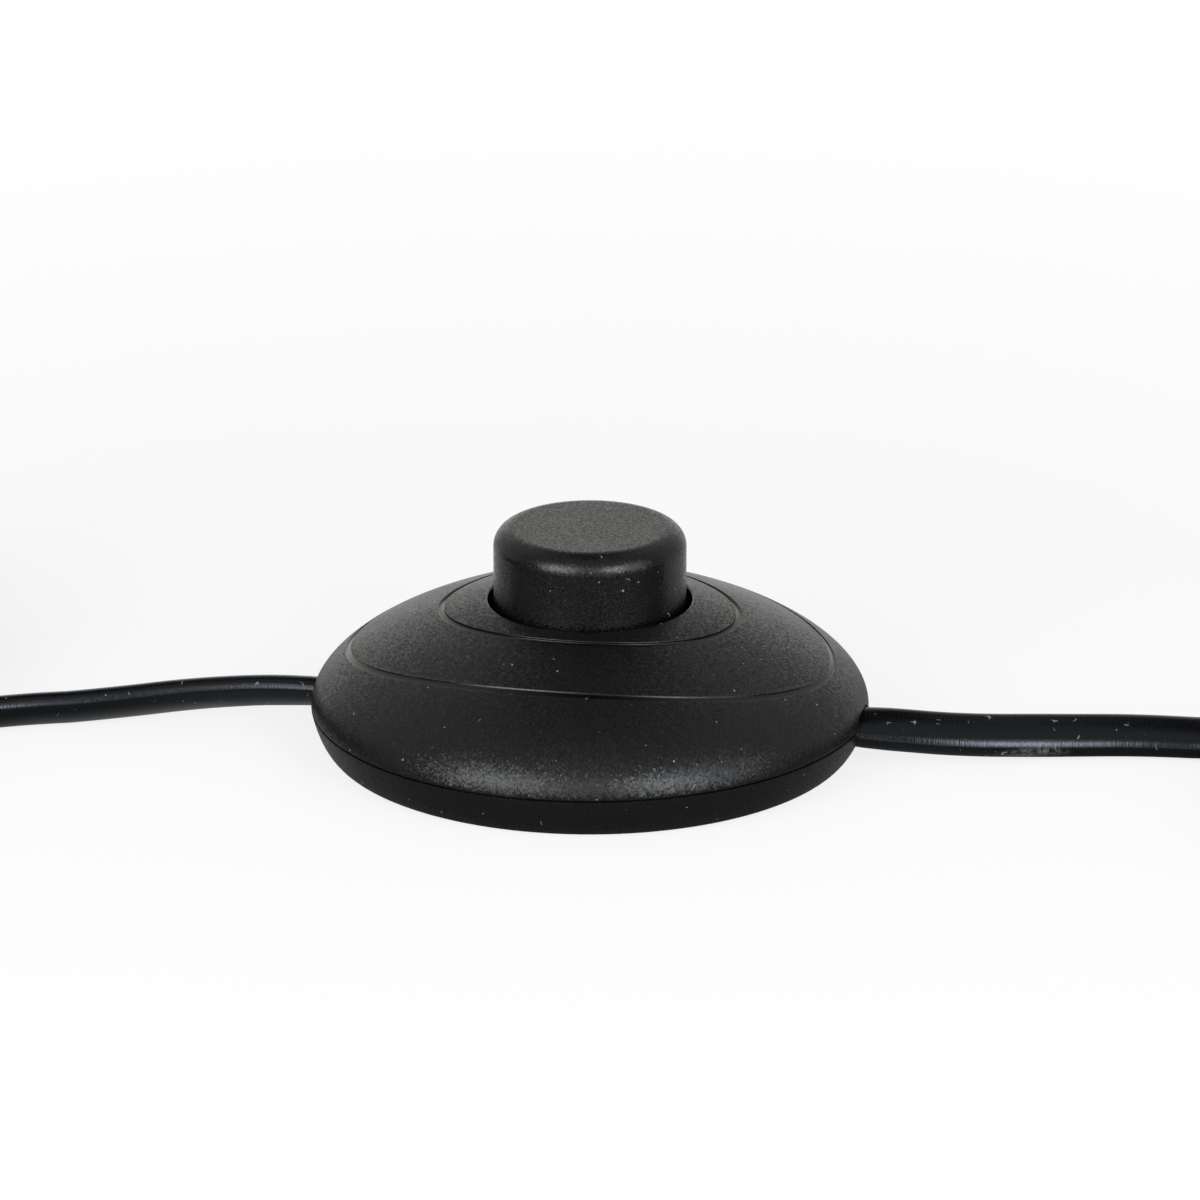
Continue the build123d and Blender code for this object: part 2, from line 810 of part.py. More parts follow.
mains_middle = coil_middle(mains_route, mains_coil_outer, -1)
lamp_middle = coil_middle(lamp_route, lamp_coil_outer, -1)
mains_coil_form = (mains_middle, mains_coil_outer, mains_coil_inner, mains_coil_height)
lamp_coil_form = (lamp_middle, lamp_coil_outer, lamp_coil_inner, lamp_coil_height)
mains_tail_points = tail_route(mains_middle)
plug_location = plug_place(mains_tail_points)

# The lamp coil's last turn ends over the point where its outer turns began
lamp_start = Vector(*lamp_route[-1]) - lamp_middle
lamp_tail_angle = math.degrees(math.atan2(lamp_start.Y, lamp_start.X))
lamp_tail_points = lamp_tail_route(lamp_middle, lamp_tail_angle)
lamp_end_place = lamp_end(lamp_tail_points)

save(flat_cord(mains_route, "mains_cord"), "mains_cord")
save(flat_cord(lamp_route, "lamp_cord"), "lamp_cord")
save(coil_solid(*mains_coil_form), "mains_coil")
save(coil_solid(*lamp_coil_form), "lamp_coil")
save(coil_tie(*mains_coil_form, mains_tie_angle), "mains_coil_tie")
save(coil_tie(*lamp_coil_form, lamp_tie_angle), "lamp_coil_tie")
save(flat_cord(mains_tail_points, "mains_tail"), "mains_tail")
save(flat_cord(lamp_tail_points, "lamp_tail"), "lamp_tail")
save(plug_location * make_plug_body(), "plug_body")
save([plug_location * pin for pin in make_plug_pins()], "plug_pins")
save(make_lamp_cores(lamp_end_place), "lamp_end_cores")
save(make_ferrules(lamp_end_place), "lamp_end_ferrules")
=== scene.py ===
import math

import bpy
import numpy as np
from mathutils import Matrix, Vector


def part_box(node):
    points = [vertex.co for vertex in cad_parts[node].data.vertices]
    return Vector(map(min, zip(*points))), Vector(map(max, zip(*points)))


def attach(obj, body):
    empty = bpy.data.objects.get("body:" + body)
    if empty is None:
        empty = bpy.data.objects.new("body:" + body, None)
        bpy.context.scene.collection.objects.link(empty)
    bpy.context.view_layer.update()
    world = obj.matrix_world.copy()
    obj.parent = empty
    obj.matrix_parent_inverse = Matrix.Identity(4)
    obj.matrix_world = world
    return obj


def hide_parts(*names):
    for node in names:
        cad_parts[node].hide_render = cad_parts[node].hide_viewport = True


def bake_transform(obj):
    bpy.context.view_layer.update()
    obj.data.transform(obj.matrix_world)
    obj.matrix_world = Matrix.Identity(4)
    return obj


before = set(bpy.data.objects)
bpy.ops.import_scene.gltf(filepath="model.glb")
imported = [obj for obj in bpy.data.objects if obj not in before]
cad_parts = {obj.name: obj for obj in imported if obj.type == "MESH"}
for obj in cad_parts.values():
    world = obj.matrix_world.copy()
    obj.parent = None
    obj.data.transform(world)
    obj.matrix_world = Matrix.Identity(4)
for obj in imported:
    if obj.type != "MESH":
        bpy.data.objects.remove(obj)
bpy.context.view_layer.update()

mm = 0.001

# Casing
body_radius = 32.5 * mm
seam_height = 4.95 * mm
rim_height = 18.05 * mm
dome_rise = 5.4 * mm
crown_slope = math.radians(16.0)
crown_run = 10.4 * mm
hole_radius = 11.85 * mm
hole_edge_round = 0.25 * mm
hole_edge_rows = 9
casing_wall = 2.0 * mm
shoulder_share = 0.35
seam_gap = 0.15 * mm
seam_gap_depth = 0.5 * mm
lip_round = 0.12 * mm
lip_rows = 6
sleeve_wall = 1.5 * mm
sleeve_bottom = 14.8 * mm
mouth_top = 6.2 * mm
mouth_half = 3.1 * mm
mouth_round = 1.2 * mm
mouth_edge_steps = np.array([0.02, 0.1, 0.3]) * mm
mouth_corner_points = 9

# Mesh of the dome: points along its section, degrees between columns, and rows of each stretch
section_steps = 3000
column_degrees = 1.0
outer_rows = 34
middle_rows = 20
crown_rows = 8
inner_rows = 16
cover_sharp_angle = 35.0

# Grooves round the dome: half lengths of each ellipse, and the groove's section
outer_groove = (28.4 * mm, 22.4 * mm)
inner_groove = (17.45 * mm, 14.0 * mm)
groove_half = 0.43 * mm
outer_groove_depth = 0.13 * mm
inner_groove_depth = 0.25 * mm
groove_places = (-1.0, -0.965, -0.92, -0.85, -0.78, -0.73, -0.67, 0.67, 0.73, 0.78, 0.85, 0.92, 0.965, 1.0)
groove_shares = (0.0, 0.05, 0.2, 0.5, 0.8, 0.95, 1.0, 1.0, 0.95, 0.8, 0.5, 0.2, 0.05, 0.0)
groove_polish_rise = 4
rim_polish = 0.6

# Posts and rails inside the cover
boss_y = 24.0 * mm
boss_radius = 3.2 * mm
boss_bottom = 4.4 * mm
pilot_radius = 1.5 * mm
pilot_top = 11.2 * mm
rail_y = 13.2 * mm
rail_width = 2.0 * mm
rail_depth = 1.7 * mm
rail_bottom = 8.7 * mm
post_sides = 32

# Return spring under the button
spring_radius = 3.9 * mm
spring_wire_radius = 0.4 * mm
spring_turns = 6
spring_steps = 48
wire_sides = 12

# Cord
cord_width = 5.4 * mm
cord_thickness = 3.2 * mm
coil_pitch = 5.6 * mm
coil_layer = 3.3 * mm
coil_radius = 27.0 * mm
tie_thickness = 0.4 * mm
mains_spiral_turns = 2.0
lamp_spiral_turns = 1.3
climb_turns = 0.4
climb_early = 0.05
climb_late = 0.3
points_per_turn = 16
plug_height = 17.15 * mm

# Last stretch of the mains cord: an arc over the coil into the plug, at these angles about its middle
tail_radius = 28.0 * mm
tail_shift = (7.0 * mm, 3.0 * mm)
tail_angles = (90.0, 58.0, 26.0, -6.0, -38.0, -66.0, -90.0, -110.0)
tail_lift = 2.4 * mm

# Last stretch of the lamp cord, on top of its coil
lamp_tail_turns = 0.65
lamp_tail_radius = 24.0 * mm

# Routes of the cords' middle lines, from inside the casing to where each coil starts
mains_route = [
    (-23.6, 0.0, 4.2),
    (-34.5, 0.0, 4.2),
    (-45.5, -1.5, 3.6),
    (-57.0, -4.6, 2.4),
    (-68.5, -8.7, 2.0),
    (-78.5, -15.0, 2.0),
    (-87.5, -23.6, 2.0),
]
lamp_route = [
    (23.6, 0.0, 4.2),
    (34.0, 0.0, 4.2),
    (43.5, 1.6, 3.4),
    (53.6, 5.4, 2.7),
    (63.5, 8.3, 2.4),
    (73.5, 9.3, 2.2),
    (83.2, 13.8, 2.0),
    (90.9, 21.2, 2.0),
]

# Tilt of each cord's wide side, in degrees at a length from its start
mains_tilts = [(0.003, 0), (0.0085, 33), (0.013, 38), (0.028, 43), (0.05, 43), (0.08, 20), (0.11, 0)]
lamp_tilts = [(0.003, 0), (0.0085, 28), (0.012, 37), (0.03, 39), (0.048, 31), (0.07, 20), (0.095, 0)]
cord_squareness = 2.3
cord_sides = 40
line_steps = 10

# Rubbed patch on the front of the lamp cord: its middle and how far it reaches each way
rub_place = (51.5 * mm, 2.3 * mm, 1.5 * mm)
rub_reach = (6.0 * mm, 2.5 * mm, 1.0 * mm)

# Camera
camera_distance = 1.0
camera_azimuth = math.radians(11.0)
camera_elevation = math.radians(19.8)
aim_right = 1.17 * mm
aim_up = 16.6 * mm
camera_lens = 256.8
camera_sensor = 36.0


def add_object(name, data):
    """New object in the scene."""
    made = bpy.data.objects.new(name, data)
    bpy.context.scene.collection.objects.link(made)
    return made


def make_camera():
    """Long lens at the photograph's angle, aimed so that the base lands where it does there."""
    east, north = math.sin(camera_azimuth), math.cos(camera_azimuth)
    rise, level = math.sin(camera_elevation), math.cos(camera_elevation)
    right = Vector((north, east, 0))
    up = Vector((-rise * east, rise * north, level))
    target = right * aim_right + up * aim_up
    data = bpy.data.cameras.new("camera")
    data.lens = camera_lens
    data.sensor_width = camera_sensor
    camera = add_object("camera", data)
    camera.location = target + Vector((level * east, -level * north, rise)) * camera_distance
    camera.rotation_mode = "QUATERNION"
    camera.rotation_quaternion = (target - camera.location).to_track_quat("-Z", "Y")
    bpy.context.scene.camera = camera


def mesh_object(name, points, faces, sharp_angle=40.0):
    """Smooth mesh with its sharp edges kept."""
    mesh = bpy.data.meshes.new(name)
    mesh.from_pydata([tuple(point) for point in points], [], faces)
    mesh.validate()
    mesh.shade_smooth()
    mesh.set_sharp_from_angle(angle=math.radians(sharp_angle))
    return add_object(name, mesh)


def tube_faces(rows, columns):
    """Faces of a closed tube made of rows of points, with flat ends."""
    faces = []
    for row in range(rows - 1):
        for column in range(columns):
            after = (column + 1) % columns
            low, high = row * columns, (row + 1) * columns
            faces.append((low + column, low + after, high + after, high + column))
    faces.append(tuple(range(columns))[::-1])
    faces.append(tuple(range((rows - 1) * columns, rows * columns)))
    return faces


# Shader graphs

# Dust and lint: solid share of a speck, curl of a hair, its edge in the noise and half its length
speck_core = 0.7
hair_bend = 1.3 * mm
hair_edge = (0.008, 0.02)
hair_reach = 0.45 * mm

# Grained plastic: spacing and radius of its specks, spacing of its lint, and shares of its values
small_speck = (1.9 * mm, 0.1 * mm)
large_speck = (3.4 * mm, 0.15 * mm)
casing_lint = 4.6 * mm
casing_patch = 9.0 * mm
casing_patch_gloss = 0.03
casing_dust_shade = 0.32
casing_dust_roughness = 0.9
grain_shades = (0.2, 1.8)
grain_relief = 0.08
polish_gloss = 0.26

# Cord sheath: its ripples, patches, dust, rubbed patch and relief
ripple_stretch = (60.0, 5.0, 1.0)
ripple_size = 12.0 * mm
sheath_patch = 7.0 * mm
sheath_patch_gloss = 0.04
sheath_shades = (0.75, 1.25)
sheath_texture = 0.3 * mm
sheath_texture_share = 0.4
sheath_speck = (2.3 * mm, 0.1 * mm)
sheath_lint = 1.9 * mm
sheath_dust_shade = 0.3
sheath_dust_share = 0.8
sheath_dust_roughness = 0.5
sheath_tint = (0.9, 0.97, 1.06, 1.0)
sheath_relief = 0.03 * mm
rub_grit = 0.5 * mm
rub_edge = (0.4, 1.0)
rub_strength = 0.45
grit_span = (0.4, 0.65)


def node(tree, kind, inputs=None, **settings):
    """Adds a shader node, sets its options, and sets or links its inputs."""
    made = tree.nodes.new("ShaderNode" + kind)
    for name, value in settings.items():
        setattr(made, name, value)
    for name, value in (inputs or {}).items():
        if isinstance(value, bpy.types.NodeSocket):
            tree.links.new(value, made.inputs[name])
        else:
            made.inputs[name].default_value = value
    return made


def math_node(tree, operation, first, second=0.0):
    """One arithmetic step."""
    return node(tree, "Math", {0: first, 1: second}, operation=operation).outputs[0]


def vector_node(tree, operation, first, second=(0.0, 0.0, 0.0)):
    """One step of vector arithmetic, which gives a number for a length or a dot product."""
    made = node(tree, "VectorMath", {0: first, 1: second}, operation=operation)
    return made.outputs["Value" if operation in ("LENGTH", "DOT_PRODUCT") else "Vector"]


def remap(tree, value, low, high, to_low, to_high):
    """Value carried from one range to another, clamped."""
    inputs = {"Value": value, 1: low, 2: high, 3: to_low, 4: to_high}
    return node(tree, "MapRange", inputs).outputs[0]


def mix_colour(tree, share, first, second):
    """Blend of two colours."""
    inputs = {0: share, 6: first, 7: second}
    return node(tree, "Mix", inputs, data_type="RGBA").outputs[2]


def grey(value):
    return (value, value, value, 1.0)


def toned(colour, share):
    """Lighter or darker form of a colour."""
    return tuple(channel * share for channel in colour) + (1.0,)


def set_input(tree, shader, name, value):
    tree.links.new(value, shader.inputs[name])


def set_relief(tree, shader, height, distance, **base):
    """Fine relief of the surface, up to a distance in metres."""
    bump = node(tree, "Bump", {"Height": height, "Distance": distance, "Strength": 1.0, **base})
    set_input(tree, shader, "Normal", bump.outputs["Normal"])


def new_material(name):
    """Empty procedural material: its node tree and its main shader."""
    material = bpy.data.materials.new(name)
    material.use_nodes = True
    tree = material.node_tree
    return material, tree, tree.nodes["Principled BSDF"]


def surface_place(tree):
    """Place on the object, in metres."""
    return node(tree, "TexCoord").outputs["Object"]


def noise(tree, place, size, detail=2.0, roughness=0.5):
    """Soft noise whose features are about that many metres across."""
    inputs = {"Vector": place, "Scale": 1.0 / size, "Detail": detail, "Roughness": roughness}
    return node(tree, "TexNoise", inputs).outputs["Fac"]


def stretched(tree, value, low, high):
    """Noise carried from its usual span to another."""
    return remap(tree, value, 0.3, 0.7, low, high)


def specks(tree, place, spacing, radius):
    """Scattered round specks, 1 inside and 0 outside."""
    cell = node(tree, "TexVoronoi", {"Vector": place, "Scale": 1.0 / spacing})
    share = radius / spacing
    return remap(tree, cell.outputs["Distance"], share * speck_core, share, 1.0, 0.0)


def lint(tree, place, spacing):
    """Short stray hairs, 1 on a hair and 0 elsewhere."""
    swirl = noise(tree, place, hair_bend, 0.0)
    hair = math_node(tree, "ABSOLUTE", math_node(tree, "SUBTRACT", swirl, 0.5))
    hair = remap(tree, hair, *hair_edge, 1.0, 0.0)
    return math_node(tree, "MULTIPLY", hair, specks(tree, place, spacing, hair_reach))


def polish(tree):
    """Share of polish on the surface: 1 in a groove, 0 on the grain."""
    return node(tree, "Attribute", attribute_name="polish").outputs["Fac"]


def facets(tree, place, size, tilt):
    """Surface direction of a grain of small facets, each tilted its own way."""
    cell = node(tree, "TexVoronoi", {"Vector": place, "Scale": 1.0 / size})
    lean = vector_node(tree, "SUBTRACT", cell.outputs["Color"], (0.5, 0.5, 0.5))
    steep = math_node(tree, "MULTIPLY", vector_node(tree, "LENGTH", lean), tilt)
    steep = math_node(tree, "MULTIPLY", steep, math_node(tree, "SUBTRACT", 1.0, polish(tree)))
    lean = node(tree, "VectorMath", {0: lean, "Scale": steep}, operation="SCALE").outputs["Vector"]
    upright = node(tree, "NewGeometry").outputs["Normal"]
    return vector_node(tree, "NORMALIZE", vector_node(tree, "ADD", upright, lean))


def grained_plastic(name, shade, roughness, spread, grain, tilt, dust):
    """Black moulding with a spark-eroded grain, slight unevenness and settled dust."""
    material, tree, shader = new_material(name)
    place = surface_place(tree)
    patches = noise(tree, place, casing_patch, 3.0)
    fine = noise(tree, place, grain, 3.0, 0.6)
    deep, light = (grey(shade * share) for share in grain_shades)
    dark = mix_colour(tree, stretched(tree, fine, 0.0, 1.0), deep, light)
    dots = math_node(tree, "MAXIMUM", specks(tree, place, *small_speck), specks(tree, place, *large_speck))
    dots = math_node(tree, "MAXIMUM", dots, lint(tree, place, casing_lint))
    dots = math_node(tree, "MULTIPLY", dots, dust)
    set_input(tree, shader, "Base Color", mix_colour(tree, dots, dark, grey(casing_dust_shade)))
    gloss = stretched(tree, fine, roughness - spread, roughness + spread)
    uneven = stretched(tree, patches, -casing_patch_gloss, casing_patch_gloss)
    gloss = math_node(tree, "ADD", gloss, uneven)
    gloss = math_node(tree, "SUBTRACT", gloss, math_node(tree, "MULTIPLY", polish(tree), polish_gloss))
    dusty = math_node(tree, "MULTIPLY", dots, casing_dust_roughness)
    set_input(tree, shader, "Roughness", math_node(tree, "MAXIMUM", gloss, dusty))
    grains = facets(tree, place, grain, tilt)
    set_relief(tree, shader, fine, grain * grain_relief, Normal=grains)
    return material


def sheath_pvc(name, colour, roughness):
    """Smooth black cord sheath with faint cross ripples, a rubbed patch, dust and lint."""
    material, tree, shader = new_material(name)
    place = surface_place(tree)
    along = node(tree, "UVMap", uv_map="UVMap").outputs["UV"]
    squeezed = node(tree, "Mapping", {"Vector": along, "Scale": ripple_stretch}).outputs["Vector"]
    ripples = noise(tree, squeezed, ripple_size)
    patches = noise(tree, place, sheath_patch, 3.0)
    fine = noise(tree, place, sheath_texture)
    dull, bright = (toned(colour, share) for share in sheath_shades)
    dark = mix_colour(tree, patches, dull, bright)
    dots = math_node(tree, "MAXIMUM", specks(tree, place, *sheath_speck), lint(tree, place, sheath_lint))
    dots = math_node(tree, "MULTIPLY", dots, sheath_dust_share)
    from_rub = vector_node(tree, "SUBTRACT", place, rub_place)
    from_rub = vector_node(tree, "DIVIDE", from_rub, rub_reach)
    rub = remap(tree, vector_node(tree, "LENGTH", from_rub), *rub_edge, rub_strength, 0.0)
    grit = noise(tree, place, rub_grit, 4.0, 0.7)
    rub = math_node(tree, "MULTIPLY", rub, remap(tree, grit, *grit_span, 0.0, 1.0))
    pale = math_node(tree, "MAXIMUM", dots, rub)
    set_input(tree, shader, "Base Color", mix_colour(tree, pale, dark, grey(sheath_dust_shade)))
    shader.inputs["Specular Tint"].default_value = sheath_tint
    gloss = stretched(tree, patches, roughness - sheath_patch_gloss, roughness + sheath_patch_gloss)
    dusty = math_node(tree, "MULTIPLY", pale, sheath_dust_roughness)
    set_input(tree, shader, "Roughness", math_node(tree, "ADD", gloss, dusty))
    height = math_node(tree, "ADD", ripples, math_node(tree, "MULTIPLY", fine, sheath_texture_share))
    set_relief(tree, shader, height, sheath_relief)
    return material


def worked_metal(name, colour, roughness, line_size):
    """Metal with fine working lines and slight tarnish."""
    material, tree, shader = new_material(name)
    place = surface_place(tree)
    drawn = node(tree, "Mapping", {"Vector": place, "Scale": (1.0, 1.0, 12.0)}).outputs["Vector"]
    lines = noise(tree, drawn, line_size, 3.0)
    patches = noise(tree, place, 3.0 * mm, 4.0)
    set_input(tree, shader, "Base Color", mix_colour(tree, patches, toned(colour, 0.72), toned(colour, 1.0)))
    shader.inputs["Metallic"].default_value = 1.0
    set_input(tree, shader, "Roughness", stretched(tree, patches, roughness, roughness + 0.15))
    set_relief(tree, shader, lines, 0.01 * mm)
    return material


def plain_moulding(name, colour, roughness):
    """Coloured plastic with flow marks and a faint texture."""
    material, tree, shader = new_material(name)
    place = surface_place(tree)
    patches = noise(tree, place, 4.0 * mm, 3.0)
    fine = noise(tree, place, 0.4 * mm)
    set_input(tree, shader, "Base Color", mix_colour(tree, patches, toned(colour, 0.8), toned(colour, 1.0)))
    set_input(tree, shader, "Roughness", stretched(tree, fine, roughness - 0.06, roughness + 0.06))
    set_relief(tree, shader, fine, 0.02 * mm)
    return material


def woven_strap(name, shade):
    """Black woven tie."""
    material, tree, shader = new_material(name)
    place = surface_place(tree)
    wave = node(tree, "TexWave", {"Vector": place, "Scale": 420.0, "Distortion": 1.5, "Detail": 2.0})
    threads = wave.outputs["Fac"]
    set_input(tree, shader, "Base Color", mix_colour(tree, threads, grey(shade * 0.6), grey(shade * 1.5)))
    shader.inputs["Roughness"].default_value = 0.85
    set_relief(tree, shader, threads, 0.08 * mm)
    return material


materials = {
    "casing_plastic": grained_plastic("casing_plastic", 0.0032, 0.34, 0.07, 0.2 * mm, 0.42, 0.8),
    "button_plastic": grained_plastic("button_plastic", 0.003, 0.28, 0.22, 0.19 * mm, 0.2, 0.9),
    "cord_pvc": sheath_pvc("cord_pvc", (0.003, 0.0031, 0.0036), 0.17),
    "plug_plastic": grained_plastic("plug_plastic", 0.012, 0.38, 0.07, 0.3 * mm, 0.5, 0.3),
    "nickel": worked_metal("nickel", (0.72, 0.70, 0.66), 0.2, 0.5 * mm),
    "tie_strap": woven_strap("tie_strap", 0.03),
    "steel": worked_metal("steel", (0.6, 0.6, 0.62), 0.28, 0.4 * mm),
    "rotor_plastic": plain_moulding("rotor_plastic", (0.72, 0.71, 0.66), 0.45),
    "brass": worked_metal("brass", (0.72, 0.52, 0.22), 0.25, 0.4 * mm),
    "contact_metal": worked_metal("contact_metal", (0.8, 0.8, 0.78), 0.22, 0.3 * mm),
    "brown_core": plain_moulding("brown_core", (0.16, 0.07, 0.03), 0.4),
    "blue_core": plain_moulding("blue_core", (0.05, 0.16, 0.4), 0.4),
}
node_slots = {
    "casing_plastic": ["base_plate"],
    "button_plastic": ["push_button"],
    "plug_plastic": ["plug_body"],
    "nickel": ["plug_pins"],
    "tie_strap": ["mains_coil_tie", "lamp_coil_tie"],
    "steel": ["terminal_screws", "clamp_screws", "housing_screws"],
    "rotor_plastic": ["rotor", "mains_cord_clamp", "lamp_cord_clamp"],
    "brass": ["contact_bridge", "line_terminal", "load_terminal", "neutral_connector", "stripped_ends"],
    "contact_metal": ["bridge_contacts", "fixed_contacts", "lamp_end_ferrules"],
    "brown_core": ["line_wire", "load_wire", "lamp_end_cores"],
    "blue_core": ["neutral_wire_in", "neutral_wire_out"],
}


def dress_nodes():
    """Gives every solid that stays its own finish."""
    for slot, names in node_slots.items():
        for name in names:
            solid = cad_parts[name]
            if not solid.material_slots:
                solid.data.materials.append(materials[slot])
            for place in solid.material_slots:
                place.material = materials[slot]


# Cords


def in_metres(route):
    return [Vector(point) * mm for point in route]


def coil_reach(turns):
    """Outer and inner radius of the cord's middle line in a coil with that many turns side by side."""
    half = turns * coil_pitch / 2
    return coil_radius + half, coil_radius - half


def layer(number):
    """Height of the cord's middle line in a layer of a coil, counted from 0."""
    return tie_thickness + cord_thickness / 2 + coil_layer * number


def coil_middle(route, radius):
    """Middle of the coil that a route runs into, on its right."""
    before, last = route[-2:]
    ahead = Vector((last.x - before.x, last.y - before.y, 0)).normalized()
    return Vector((last.x, last.y, 0)) + Vector((ahead.y, -ahead.x, 0)) * radius


def turned(middle, radius, angle, height):
    """Point at an angle round a middle."""
    return Vector((middle.x + radius * math.cos(angle), middle.y + radius * math.sin(angle), height))


def coil_points(middle, first_angle, radius_at, height_at):
    """Points of a clockwise coil. Radii and heights are given as pairs of a turn and a value."""
    last_turn = radius_at[-1][0]
    turns = [step / points_per_turn for step in range(1, math.ceil(last_turn * points_per_turn))]
    points = []
    for turn in turns + [last_turn]:
        radius = np.interp(turn, *zip(*radius_at))
        height = np.interp(turn, *zip(*height_at))
        points.append(turned(middle, radius, first_angle - turn * math.tau, height))
    return points


def mains_line():
    """Control points of the mains cord: out of the casing, round its coil and up into the plug."""
    route = in_metres(mains_route)
    outer, inner = coil_reach(mains_spiral_turns)
    middle = coil_middle(route, outer)
    hub = middle + Vector((*tail_shift, 0))
    start = route[-1] - middle
    first_angle = math.atan2(start.y, start.x)
    in_end = mains_spiral_turns
    out_start = in_end + climb_turns
    out_end = out_start + mains_spiral_turns
    top_start = out_end + climb_turns
    quarter = math.pi / 2
    top_end = math.ceil(top_start) + ((first_angle - quarter) / math.tau) % 1.0 - 1.0
    if top_end < top_start:
        top_end += 1.0
    top_radius = tail_radius + tail_shift[1]
    radius_at = [(0, outer), (in_end, inner), (out_start, inner), (out_end, outer),
                 (top_start, outer), (top_end, top_radius)]
    height_at = [(in_end - climb_early, layer(0)), (in_end + climb_late, layer(1)),
                 (out_end - climb_early, layer(1)), (out_end + climb_late, layer(2)),
                 (top_end - climb_late, layer(2)), (top_end, layer(2) + tail_lift)]
    points = coil_points(middle, first_angle, radius_at, height_at)
    low = layer(2) + tail_lift
    sweep = tail_angles[0] - tail_angles[-1]
    for angle in tail_angles:
        share = (tail_angles[0] - angle) / sweep
        height = low + (plug_height - low) * math.sin(share * quarter)
        points.append(turned(hub, tail_radius, math.radians(angle), height))
    return route + points


def lamp_line():
    """Control points of the lamp cord: out of the casing, round its coil and along the top of it."""
    route = in_metres(lamp_route)
    outer, inner = coil_reach(lamp_spiral_turns)
    middle = coil_middle(route, outer)
    start = route[-1] - middle
    first_angle = math.atan2(start.y, start.x)
    in_end = lamp_spiral_turns
    out_start = in_end + climb_turns
    out_end = out_start + lamp_spiral_turns
    tail_end = out_end + lamp_tail_turns
    radius_at = [(0, outer), (in_end, inner), (out_start, inner), (out_end, outer),
                 (out_end + 2 * climb_early, outer), (tail_end, lamp_tail_radius)]
    height_at = [(in_end - climb_early, layer(0)), (in_end + climb_late, layer(1)),
                 (out_end - 2 * climb_early, layer(1)), (out_end + 2 * climb_early, layer(2)),
                 (tail_end, layer(2))]
    return route + coil_points(middle, first_angle, radius_at, height_at)


def smooth_line(points):
    """Points of the smooth curve that has these as its control points."""
    curve = bpy.data.curves.new("route", "CURVE")
    curve.dimensions = "3D"
    spline = curve.splines.new("NURBS")
    spline.points.add(len(points) - 1)
    for spot, point in zip(spline.points, points):
        spot.co = (point.x, point.y, point.z, 1.0)
    spline.order_u = 3
    spline.use_endpoint_u = True
    spline.resolution_u = line_steps
    holder = bpy.data.objects.new("route", curve)
    mesh = bpy.data.meshes.new_from_object(holder)
    line = np.array([vertex.co for vertex in mesh.vertices])
    bpy.data.objects.remove(holder)
    bpy.data.meshes.remove(mesh)
    return line


def cord_section():
    """Section of the flat cord: an oval with fuller sides than an ellipse."""
    turn = np.linspace(0, math.tau, cord_sides, endpoint=False)
    wide, high = np.cos(turn), np.sin(turn)
    power = 2.0 / cord_squareness
    across = np.sign(wide) * np.abs(wide) ** power * cord_width / 2
    up = np.sign(high) * np.abs(high) ** power * cord_thickness / 2
    return np.column_stack([across, up])


def run_lengths(line):
    """Length along a line up to each of its points."""
    return np.concatenate([[0.0], np.cumsum(np.linalg.norm(np.diff(line, axis=0), axis=1))])


def flat_cord(name, line, tilts):
    """Flat cord along a line, no lower than the floor. Tilts pair a length with its slope in degrees."""
    lengths = run_lengths(line)
    ahead = np.gradient(line, lengths, axis=0)
    ahead /= np.linalg.norm(ahead, axis=1)[:, None]
    across = np.cross((0.0, 0.0, 1.0), ahead)
    across /= np.linalg.norm(across, axis=1)[:, None]
    above = np.cross(ahead, across)
    tilt = np.radians(np.interp(lengths, *zip(*tilts)))[:, None]
    wide = across * np.cos(tilt) + above * np.sin(tilt)
    thick = above * np.cos(tilt) - across * np.sin(tilt)
    section = cord_section()
    points = line[:, None] + section[None, :, :1] * wide[:, None]
    points += section[None, :, 1:] * thick[:, None]
    points[:, :, 2] += np.maximum(0.0, -points[:, :, 2].min(axis=1))[:, None]
    rows, columns = points.shape[:2]
    made = mesh_object(name, points.reshape(-1, 3), tube_faces(rows, columns))
    rim = run_lengths(section)
    spread = made.data.uv_layers.new(name="UVMap")
    for loop in made.data.loops:
        row, column = divmod(loop.vertex_index, columns)
        spread.data[loop.index].uv = (lengths[row], rim[column])
    made.data.materials.append(materials["cord_pvc"])
    return made, lengths[-1]


def make_cords():
    mains_points = smooth_line(mains_line())
    mains, mains_length = flat_cord("mains_cord_sheath", mains_points, mains_tilts)
    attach(mains, "casing")
    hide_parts("mains_cord", "mains_coil", "mains_tail")
    lamp_points = smooth_line(lamp_line())
    lamp, lamp_length = flat_cord("lamp_cord_sheath", lamp_points, lamp_tilts)
    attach(lamp, "casing")
    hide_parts("lamp_cord", "lamp_coil", "lamp_tail")


# Cover


def bezier(points, shares):
    """Points along a cubic curve, one for each share."""
    start, first, second, end = (np.array(point) for point in points)
    t = np.asarray(shares)[:, None]
    return (1 - t) ** 3 * start + 3 * (1 - t) ** 2 * t * first + 3 * (1 - t) * t**2 * second + t**3 * end


def dome_curve(inset):
    """Middle section of the dome, moved in by a wall, from the seam up to the hole."""
    foot = np.array((body_radius - inset, seam_height))
    foot_handle = foot + (0, dome_rise - shoulder_share * inset)
    fall, level = math.sin(crown_slope), math.cos(crown_slope)
    crown = np.array((hole_radius, rim_height)) - np.array((fall, level)) * inset
    crown_handle = crown + np.array((level, -fall)) * crown_run
    return bezier([foot, foot_handle, crown_handle, crown], np.linspace(0, 1, section_steps))


def ellipse_radius(half_lengths, angles):
    """Distance of an ellipse from its middle in each direction."""
    long_half, short_half = half_lengths
    return long_half * short_half / np.hypot(short_half * np.cos(angles), long_half * np.sin(angles))


